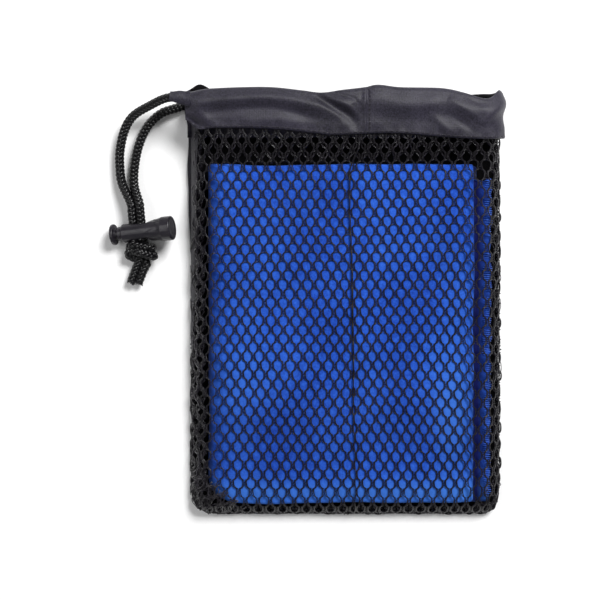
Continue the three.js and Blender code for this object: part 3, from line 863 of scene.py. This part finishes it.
def header_push(run, y, outside):
    """Outward push of the satin at a place on the band: folds, soft unevenness, the seam and puckers."""
    x = header_course(run)[0]
    folds = FOLD_DEPTH * sum(crease(x, y, *fold) for fold in FRONT_FOLDS)
    waves = 0.8 * ripple(run, y, 61, 50, 24) + 0.4 * ripple(run, y, 67, 16, 30)
    push = front_or_back(run, folds, waves) + 0.12 * ripple(run, y, 62, 16, 9)
    push = push - 0.75 * np.where(run < STRAIGHT, bump((x - SEAM_X) / 0.55), 0)
    low_edge = 1 - ease((y - header_foot(run)) / 5)
    puckers = np.sin(run / 1.15 + 1.5 * wander(run, 63, 15))
    push = push - 0.7 * low_edge * on_front(run) + 0.2 * low_edge * puckers
    turned = np.sin(np.clip((run - STRAIGHT) / TURN_R, 0, math.pi)) ** 2
    push = push + 1.6 * turned * (1 - ease((y - header_foot(run) - 3) / 9))
    ends = 1 - ease(np.minimum(run, COURSE - run) / 8)
    push = push + ends * 0.6 * ripple(run, y, 64, 10, 8)
    return push * np.where(outside, 1.0, 0.6 + 0.4 * low_edge)


def band_section():
    """Closed outline of the empty band: (across, share of height, is outside) round the section."""
    t = np.linspace(0, 1, BAND_COLUMNS, endpoint=False)
    outside = t < 0.5
    up = np.where(outside, t * 2, 2 - t * 2)
    bulge = bump((up - 0.7) / 0.24) * (BULGE_HALF - FLAP_HALF)
    round_top = np.sqrt(np.clip((1 - up) / 0.07, 0, 1))
    round_low = 0.35 + 0.65 * np.sqrt(np.clip(up / 0.03, 0, 1))
    across = (FLAP_HALF + bulge) * round_top * round_low
    return np.where(outside, across, -across), up, outside


def build_header():
    run = np.linspace(0, COURSE, 620)[:, None]
    across, up, outside = band_section()
    low = header_foot(run)
    y = low + up * (header_rim(run) - low)
    centre_x, centre_z, out_x, out_z = header_course(run)
    offset = across + header_push(run, y, outside)
    flare = 1 - ease((COURSE - run) / 10)
    x = centre_x + out_x * offset - 1.2 * flare * ease((y - HEAD_LOW[1] - 7) / 4)
    z = centre_z + out_z * offset + MOUTH_FLARE * flare - corner_drop(x, y, run)
    shape = at(x, y, np.maximum(z, 0.02)).reshape(-1, 3), loft_faces(len(run), BAND_COLUMNS)
    band = make_object("header_band", shape, SATIN, "pouch", "satin", "header_casing", "cord_run")
    column = np.arange(BAND_COLUMNS)
    inward = (column >= BAND_COLUMNS // 2) & (column < BAND_COLUMNS * 5 // 6)
    # The band's inner faces get the near-black painted shade.
    paint_shade_inside(band, np.tile(inward, len(run) - 1))


def build_mouth_flap():
    """The front casing's inner ply, which sticks out over the upper cord and leaves it room to be pulled."""
    along, over = np.meshgrid(np.linspace(0, 1, 40), np.linspace(-1, 1, 30), indexing="ij")
    x = HEAD_LEFT + 2.5 - along * 9.2 + 0.4 * over * along
    width = 3.6 - 1.5 * along
    y = CORD_Y - 0.6 + 0.8 * along + over * width + 0.3 * ripple(x, over * 3, 68, 6, 6)
    droop = (1.6 - along) * over**2
    top = at(x, y, FRONT_Z + 3.05 - droop + 0.12 * ripple(x, y, 69, 7, 5))[:, ::-1]
    make_object("header_mouth_flap", thick_sheet(top, top - [0, 0, 0.3]), SATIN, "pouch", "satin")


STITCH_PITCH = 2.3
STITCH_RADIUS = 0.15
OVERLOCK_REACH = (0.9, 0.75)
OVERLOCK_RADIUS = 0.18


def stitch_row(places, ups, length, radius):
    """Short arched stitches lying on a surface: one for each gap between the places."""
    t = np.linspace(-0.5, 0.5, 7)
    paths = []
    for start, end, up in zip(places, places[1:], ups):
        direction = end - start
        share = length / np.linalg.norm(direction)
        line = (start + end) / 2 + direction * share * t[:, None]
        arch = 0.3 * np.sqrt(np.clip(1 - (2 * t)**2, 0, 1)) - 0.1
        paths.append(line + up * arch[:, None])
    return tubes(np.array(paths), radius, sides=6)


def header_line(rise, start, end):
    """Stitch ends and outward directions along the band's outer face, a height above its lower edge."""
    run = np.arange(start, end, STITCH_PITCH)
    y = header_foot(run) + rise
    x, z, out_x, out_z = header_course(run)
    offset = FLAP_HALF + header_push(run, y, True)
    places = at(x + out_x * offset, y, z + out_z * offset - corner_drop(x, y, run))
    return places, at(out_x, 0, out_z)


def build_stitches():
    rise = 0.9
    middle = STRAIGHT + math.pi * TURN_R / 2
    for name, start, end in (("front", 1.0, middle), ("back", middle, COURSE - 1)):
        row = stitch_row(*header_line(rise, start, end), 1.7, STITCH_RADIUS)
        make_object(f"header_stitching_{name}", row, THREAD, "pouch", "thread", f"header_stitch_{name}")
    run = SEAM_X + 0.9 - HEAD_LEFT
    low, high = header_foot(run), header_rim(run)
    y = np.arange(low + 1.5, high - 1.5, 2.0)
    across, up, _ = band_section()
    half = BAND_COLUMNS // 2
    surface = np.interp((y - low) / (high - low), up[:half], across[:half])
    x, z, _, _ = header_course(run)
    places = at(x, y, z + surface + header_push(run, y, True))
    joint = stitch_row(places, np.tile([0.0, 0.0, 1.0], (len(y), 1)), 1.4, 0.14)
    make_object("header_joint_stitching", joint, THREAD, "pouch", "thread", "header_joint_thread")


def overlock(path, axis, pitch, reach, radius, uneven, seed):
    """An overlock thread along an edge: a loose coil that reaches past it along an axis, and up and down."""
    length = run_along(path)[-1]
    turns = length / pitch
    t = np.linspace(0, 1, int(turns * 12))
    run = np.linspace(0, 1, len(path))
    coil = np.stack([np.interp(t, run, place) for place in path.T], -1)
    angle = 2 * math.pi * turns * t + 0.8 * wander(t * length, seed + 1, 5)
    wobble = 1 + uneven * wander(t * length, seed, 6)
    coil[:, axis] += np.cos(angle) * reach[0] * wobble
    coil[:, 2] += np.sin(angle) * reach[1] * wobble
    return tubes(coil[None], radius, sides=5)


def build_seam_threads():
    z = PANEL_TOP + 0.8
    for side, name in ((-1, "left"), (1, "right")):
        y = np.linspace(BOTTOM + 9, NET_TOP, 60)
        edge = side * (HALF - 0.9) + 0.3 * wander(y, 71 + side, 20)
        coil = overlock(at(edge, y, z), 0, 1.5, OVERLOCK_REACH, OVERLOCK_RADIUS, 0.35, 73 + side)
        make_object(f"side_seam_overlock_{name}", coil, THREAD, "pouch", "thread", f"side_seam_thread_{name}")
    x = np.linspace(-HALF + 8, HALF - 8, 60)
    path = at(x, BOTTOM + 0.9 + 0.3 * wander(x, 75, 20), z)
    coil = overlock(path, 1, 1.4, OVERLOCK_REACH, OVERLOCK_RADIUS, 0.4, 76)
    make_object("bottom_seam_overlock", coil, THREAD, "pouch", "thread", "bottom_seam_thread")


# ---------------- towel

def towel_centre_line():
    """The folded cloth's middle line across the pouch: free edge, round the left, and back."""
    outer_r, inner_r = 1.5 * PITCH, 0.5 * PITCH
    fold_x = TOWEL_LOW[0] + outer_r + LEAF / 2
    lower_x = LOWER_EDGE - inner_r - LEAF / 2

    def arc(x, z, radius, start, end, count):
        angle = np.linspace(start, end, count)
        return np.stack([x + radius * np.cos(angle), z + radius * np.sin(angle)], -1)

    def line(x0, x1, z, count):
        return np.stack([np.linspace(x0, x1, count), np.full(count, z)], -1)

    quarter = math.pi / 2
    return np.vstack([
        line(TOP_EDGE - LEAF / 2, fold_x, leaf_level(3), 150)[:-1],
        arc(fold_x, (leaf_level(0) + leaf_level(3)) / 2, outer_r, quarter, 3 * quarter, 18)[:-1],
        line(fold_x, lower_x, leaf_level(0), 30)[:-1],
        arc(lower_x, (leaf_level(0) + leaf_level(1)) / 2, inner_r, -quarter, quarter, 12)[:-1],
        line(lower_x, fold_x, leaf_level(1), 30)[:-1],
        arc(fold_x, (leaf_level(1) + leaf_level(2)) / 2, inner_r, 3 * quarter, quarter, 12)[:-1],
        line(fold_x, SECOND_EDGE - LEAF / 2, leaf_level(2), 120),
    ])


def towel_ring(line, half_thick):
    """Closed outline round the centre line at a given half thickness, with rounded free edges."""
    direction = unit(np.gradient(line, axis=0))
    normal = np.stack([direction[:, 1], -direction[:, 0]], -1)

    def cap(end, along, start_normal):
        angle = np.linspace(0, math.pi, 7)[1:-1]
        return end + half_thick * (np.cos(angle)[:, None] * start_normal + np.sin(angle)[:, None] * along)

    tip = cap(line[-1], direction[-1], normal[-1])
    tail = cap(line[0], -direction[0], -normal[0])
    return np.vstack([line + normal * half_thick, tip, (line - normal * half_thick)[::-1], tail])


def towel_shade(x, z_flat, along):
    """How much painted shade darkens the towel: the second leaf beside the top leaf's edge, the folded left
    side and the lower half.
    """
    second = (z_flat < TOP_LEAF_UNDERSIDE) & (x > TOP_EDGE - 2)
    depth = 0.6 * bump((x - TOP_EDGE - 1.2) / 2.4) + 0.5
    folded_side = 0.85 * bump((x - TOWEL_LOW[0]) / 2.2)
    lower_half = 0.2 * bump((along - 34) / 19)
    return np.where(second, np.clip(depth, 0, 1), np.maximum(folded_side, lower_half))


def towel_painted_highlight(x, along):
    """Where a painted highlight lightens the towel: the front edge, and soft patches at both sides."""
    front = 0.8 * bump((along - 4) / 6.0) * (0.75 + 0.25 * wander(x, 86, 60))
    right = 0.45 * bump((x - (TOP_EDGE - 9)) / 9) * bump((along - 45) / 34)
    left = 0.22 * bump((x - (TOWEL_LOW[0] + 12)) / 12) * bump((along - 55) / 40)
    return np.clip(front + right + left + 0.06 * ripple(x, along, 87, 30, 40), 0, 1)


def build_towel():
    line = towel_centre_line()
    left = TOWEL_LOW[0]
    length = TOWEL_HIGH[1] - TOWEL_LOW[1]
    ends = TOWEL_ROUNDING * (1 - np.cos(np.linspace(0, math.pi / 2, 7)))
    inner = np.linspace(TOWEL_ROUNDING, length - TOWEL_ROUNDING, 120)
    stations = np.concatenate([ends[:-1], inner, length - ends[::-1][1:]])
    rings, shades, painted_highlights = [], [], []
    for along in stations:
        rim = min(along, length - along)
        half = LEAF / 2 * math.sqrt(max(1 - (1 - min(rim / TOWEL_ROUNDING, 1)) ** 2, 0.02))
        flat_x, flat_z = towel_ring(line, half).T
        shades.append(towel_shade(flat_x, flat_z, along))
        painted_highlights.append(towel_painted_highlight(flat_x, along))
        y = np.full_like(flat_x, TOWEL_LOW[1] + along)
        short_of_corner = max(TOWEL_CORNER_R - along, 0)
        cut_in = TOWEL_CORNER_R - math.sqrt(TOWEL_CORNER_R**2 - short_of_corner**2)
        x = flat_x + cut_in * np.clip((SECOND_EDGE - flat_x) / (SECOND_EDGE - left), 0, 1) ** 6
        beyond = np.clip(x - (TOP_EDGE - 1), 0, None) * (flat_z > leaf_level(2) - LEAF)
        shorter = ease((along - (length - SECOND_START)) / 1.2)
        x = x - beyond * shorter * (flat_z < TOP_LEAF_UNDERSIDE)
        top = np.clip(flat_z / (4 * PITCH), 0, 1)
        edge_sag = 1.5 * bump((TOP_EDGE - x) / 5.0) * (flat_z > TOP_LEAF_UNDERSIDE - 0.1)
        edge_sag = edge_sag + 1.3 * bump((x - left) / 7.0)
        second = (flat_z < TOP_LEAF_UNDERSIDE) & (x > TOP_EDGE)
        droop = np.where(second, 1.5 * bump((x - TOP_EDGE - 2.2) / 2.2), 0)
        crinkle = np.where(x > SECOND_EDGE - 3.2, 0.7 * wander(y, 85, 5), 0)
        hem = 0.5 * bump((x - (TOP_EDGE - 3.3)) / 0.5) * (flat_z > leaf_level(3))
        z = flat_z + top * (towel_relief(x, y) - edge_sag) - hem - droop + crinkle
        x = x + 0.35 * ripple(y, flat_z, 83, 40, 9) + crinkle * 0.6
        y = y + 0.45 * ripple(x, z, 84, 40, 9) * bump(rim / 8.0)
        rings.append(at(x, y, BASE_Z + np.maximum(z, 0.0) + (y - TOWEL_LOW[1]) * RISE))
    shape = np.vstack(rings), loft_faces(len(rings), len(rings[0]))
    obj = make_object("towel_folded", shape, SUEDE, "towel", "towel", "towel_cloth")
    for name, values in (("shade", shades), ("nap_and_painted_highlight", painted_highlights)):
        attribute = obj.data.attributes.new(name, "FLOAT", "POINT")
        attribute.data.foreach_set("value", np.concatenate(values).astype(np.float32))
    bm = bmesh.new()
    bm.from_mesh(obj.data)
    bmesh.ops.triangulate(bm, faces=[f for f in bm.faces if len(f.verts) > 4])
    bmesh.ops.recalc_face_normals(bm, faces=bm.faces)
    bm.to_mesh(obj.data)
    bm.free()


def build_towel_overlock():
    y = np.linspace(THREAD_LOW[1] - 8, THREAD_HIGH[1] + 2, 80)
    z = BASE_Z + leaf_level(2) + (y - TOWEL_LOW[1]) * RISE + 0.45 * wander(y, 85, 5)
    x = SECOND_EDGE - 1.2 + 0.35 * wander(y, 91, 14)
    coil = overlock(at(x, y, z), 0, 0.95, (1.6, 1.6), 0.2, 0.3, 92)
    make_object("towel_overlock", coil, BLUE_THREAD, "towel", "towel_thread", "towel_overlock_thread")


# ---------------- drawcord

CORD_RADIUS = 2.0
CAD_CORD_RADIUS = 1.75
YARNS_EACH_WAY = 4
YARN_HALF_WIDTH = 0.74
BRAID_LAY = 7.4
STRAND_SPREAD = 1.9


def braid(centre, radius):
    """Closed ribbons of a round braid along a centre line, two over and two under."""
    side, up = side_vectors(centre)
    run = run_along(centre)
    crossings = 2 * YARNS_EACH_WAY * run / BRAID_LAY
    sunk, relief = 0.48, 0.28
    yarns, radials = [], []
    for hand in (1, -1):
        for index in range(YARNS_EACH_WAY):
            angle = 2 * math.pi * (hand * run / BRAID_LAY + index / YARNS_EACH_WAY)
            over = math.sqrt(2) * np.cos(math.pi / 2 * (2 * index + hand * crossings - 0.5))
            distance = radius - sunk + relief * hand * over
            radial = np.cos(angle)[:, None] * side + np.sin(angle)[:, None] * up
            yarns.append(centre + distance[:, None] * radial)
            radials.append(radial)
    return tubes(np.array(yarns), YARN_HALF_WIDTH, sides=8, flat=0.5, up=np.array(radials))


def cord_piece(path, radius=CORD_RADIUS):
    """Vertices and faces of a braided cord with a plain core."""
    spacing = 0.4
    centre = smooth_curve(path, int(run_along(path)[-1] / spacing))
    core = tubes(centre[None, ::2], radius - 0.8, sides=8)
    return gather([braid(centre, radius), core])


# Where the loop swings, the two cords' heights at the header, the lock's directions of travel, the
# middle of its hole and the middle of the knot.
LEG_HIGH = corners("cord_leg_front")[1]
FRONT_CORD_Z = LEG_HIGH[2] - CAD_CORD_RADIUS
BACK_CORD_Z = corners("cord_leg_back")[0][2] + CAD_CORD_RADIUS
SLIDE = np.array(JOINTS["lock_slide"]["axis"])
PRESS = np.array(JOINTS["plunger_press"]["axis"])
HOLE_FROM_MIDDLE = 4.7
LOCK = np.mean(corners("lock_barrel"), axis=0) - PRESS * HOLE_FROM_MIDDLE
KNOT_HEIGHT = 5.6
KNOT = np.array([*(LOCK - SLIDE * 9.8)[:2], KNOT_HEIGHT])
WIDEST = corners("cord_loop")[0][0] + CAD_CORD_RADIUS


def strand_path(side):
    """Centre line of one strand from deep in the header's tunnel to the knot; side -1 is the outer one.

    The part in the tunnel is as long as the cord can be pulled out. The part above the lock is
    straight as far as the lock slides.
    """
    spread = PRESS * side * STRAND_SPREAD
    x = HEAD_LEFT
    if side < 0:
        z = FRONT_CORD_Z
        bend = [[x + 4, CORD_Y - 0.7, z], [x + 0.5, CORD_Y - 0.2, z - 0.4], [x - 8, CORD_Y + 0.4, z - 4],
                [x - 16.5, 88.4, 13], [x - 24.4, 84.2, 8.8], [x - 28.6, 78.0, 6.2],
                [WIDEST - 0.7, 69, 4.6], [WIDEST - 0.8, 61, 4.2], [WIDEST + 0.3, 54, 4.8]]
    else:
        z = BACK_CORD_Z + 0.2
        bend = [[x + 5, CORD_Y - 0.5, z + 0.3], [x, CORD_Y - 0.9, z + 0.3], [x - 6, 88.3, z + 1.0],
                [x - 12.5, 85.7, 4.6], [x - 18.5, 79.8, 4.4], [x - 22.3, 71.5, 4.0],
                [x - 24.3, 61.5, 4.0], [x - 24.3, 53.0, 5.2]]
    tunnel = [[inside, CORD_Y - 0.5, z] for inside in (LEG_HIGH[0], x + 30, x + 16)]
    through = [LOCK + SLIDE * above + spread for above in (12.6, 9, 5, 0)]
    return np.vstack([tunnel, bend, through, [LOCK - SLIDE * 4.5 + spread * 0.7]])


def knot_path(side):
    """One of the two cords through the overhand knot and on into its tail; side 1 lies above."""
    level = 1.7 * side
    winding = np.array([
        (1.2 * side, 5.6, 2.0), (1.6 + 0.6 * side, 3.4, -0.6), (4.0, 1.6 + level * 0.7, -1.1),
        (5.7 - 0.3 * side, 0.2 + level * 1.05, 0.5), (4.0 - 0.5 * side, 0.4 + level * 1.1, 2.4 + 0.3 * side),
        (0.4, 1.4 + level * 0.9, 3.0 - 0.3 * side), (-3.2, 2.2 + level * 0.75, 2.1 + 0.5 * side),
        (-5.2 + 0.4 * side, 0.9 + level * 0.8, 0.3), (-3.8, -1.4 + level * 0.3, -1.3),
    ])
    down = unit(np.array([-0.363, -0.935, -0.12]))
    beside = np.array([down[1], -down[0], 0])
    start = np.array([0.8, -3.6, -0.6]) + beside * side * 1.65
    reach = 10.2 if side < 0 else 11.4
    tail = [start + down * share * reach for share in (0, 0.4, 0.75, 1.0)]
    return KNOT + np.vstack([winding, tail])


def frayed_end(path, seed):
    """Short cut fibres that stand out at a cord's end."""
    draw = np.random.default_rng(seed)
    end, direction = path[-1], unit(path[-1] - path[-2])
    side = unit(np.cross(direction, [0, 0, 1.0]))
    up = np.cross(side, direction)
    hairs = []
    for _ in range(34):
        angle, distance = draw.uniform(0, 2 * math.pi), 1.75 * math.sqrt(draw.uniform(0.15, 1))
        outward = math.cos(angle) * side + math.sin(angle) * up
        foot = end - direction * 0.5 + distance * outward
        lean = direction + 0.35 * outward + draw.uniform(-0.2, 0.2, 3)
        hairs.append(np.linspace(foot, foot + unit(lean) * draw.uniform(0.7, 1.5), 4))
    return tubes(np.array(hairs), np.linspace(0.17, 0.1, 4), sides=5)


def build_cord():
    for side, name in ((-1, "outer"), (1, "inner")):
        strand = make_object(f"cord_strand_{name}", cord_piece(strand_path(side)), CORD_YARN, None, "cord",
                             "cord_leg_front" if side < 0 else "cord_leg_back")
        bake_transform(strand)
        winding = knot_path(side)
        make_object(f"cord_knot_and_tail_{name}", cord_piece(winding, CORD_RADIUS - 0.05), CORD_YARN,
                    "cord_loop", "cord", "cord_loop")
        make_object(f"cord_cut_end_{name}", frayed_end(winding, 101 + side), CUT_YARN, "cord_loop", "cord")


# ---------------- cord lock

def build_lock_part(node, name, body, material, voxel):
    """A CAD part of the lock with its facets and edges softened as a moulding's are."""
    mesh = frame["nodes"][node].data.copy()
    mesh.materials.clear()
    mesh.materials.append(material)
    obj = in_scene(name, mesh)
    bpy.context.view_layer.objects.active = obj
    obj.select_set(True)
    steps = {"WELD": {"merge_threshold": 0.01 * MM}, "REMESH": {"mode": "VOXEL", "voxel_size": voxel * MM},
             "SMOOTH": {"factor": 0.6, "iterations": 4}}
    for kind, settings in steps.items():
        modifier = obj.modifiers.new(kind, kind)
        for setting, value in settings.items():
            setattr(modifier, setting, value)
        bpy.ops.object.modifier_apply(modifier=modifier.name)
    obj.select_set(False)
    return tie(obj, body, [node])


def shape_barrel(barrel):
    """Swells the barrel towards its closed end and sinks that end's face."""
    mesh = barrel.data
    points = np.array([vertex.co for vertex in mesh.vertices]) / MM
    along = (points - LOCK) @ PRESS
    radial = points - LOCK - along[:, None] * PRESS
    distance = np.linalg.norm(radial, axis=1)
    swell = 0.11 * ease((along - 3.4) / 3.6) * (distance > 3.9)
    end_face = (along > along.max() - 0.3) * (1 - ease((distance - 3.3) / 0.8))
    moved = points + radial * swell[:, None] - PRESS * (0.12 * end_face)[:, None]
    mesh.vertices.foreach_set("co", (moved * MM).ravel())
    mesh.update()


def build_lock():
    barrel = build_lock_part("lock_barrel", "lock_barrel_moulding", "cord_lock", PLASTIC, 0.16)
    shape_barrel(barrel)
    build_lock_part("lock_plunger", "lock_plunger_moulding", "plunger", PLASTIC, 0.13)
    spring = build_lock_part("lock_spring", "lock_spring_wire", "plunger", STEEL, 0.09)
    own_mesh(spring)


# ---------------- stage, light and camera

def build_stage():
    half = 3.0
    mesh = bpy.data.meshes.new("floor")
    square = [(x * half, y * half, 0) for x, y in ((-1, -1), (1, -1), (1, 1), (-1, 1))]
    mesh.from_pydata(square, [], [(0, 1, 2, 3)])
    mesh.materials.append(floor_material())
    floor = in_scene("floor", mesh)
    floor.location.z = -0.05 * MM


def add_softbox(name, place, size, power):
    """A round soft light that points at the origin."""
    light = bpy.data.lights.new(name, "AREA")
    light.shape = "DISK"
    light.size = size
    light.energy = power
    obj = in_scene(name, light)
    obj.location = place
    obj.rotation_euler = (-Vector(place)).to_track_quat("-Z", "Y").to_euler()


def build_lights():
    add_softbox("key_softbox", (0.5, 0.68, 1.1), 0.62, 23.0)
    add_softbox("fill_softbox", (-0.8, 0.1, 1.0), 0.9, 4.5)
    world = bpy.data.worlds.new("studio")
    world.use_nodes = True
    background = world.node_tree.nodes["Background"]
    background.inputs["Color"].default_value = (1, 1, 1, 1)
    background.inputs["Strength"].default_value = 0.2
    bpy.context.scene.world = world


def build_camera():
    """Straight down, with the object's outline filling about two thirds of the frame."""
    header_share = 0.5315
    middle = (-0.0207, 0.0011, 0.012)
    camera = bpy.data.cameras.new("camera")
    camera.lens = 90
    camera.sensor_width = 36
    width = (HEAD_HIGH[0] - HEAD_LOW[0]) * MM / header_share
    obj = in_scene("camera", camera)
    obj.location = Vector(middle) + Vector((0, 0, width * camera.lens / camera.sensor_width))
    bpy.context.scene.camera = obj


bpy.context.scene.view_settings.view_transform = "Standard"
build_back_panel()
build_turned_edge()
build_net()
build_seam_allowance()
build_header()
build_mouth_flap()
build_stitches()
build_seam_threads()
build_towel()
build_towel_overlock()
build_cord()
build_lock()
build_stage()
build_lights()
build_camera()

bpy.context.view_layer.update()
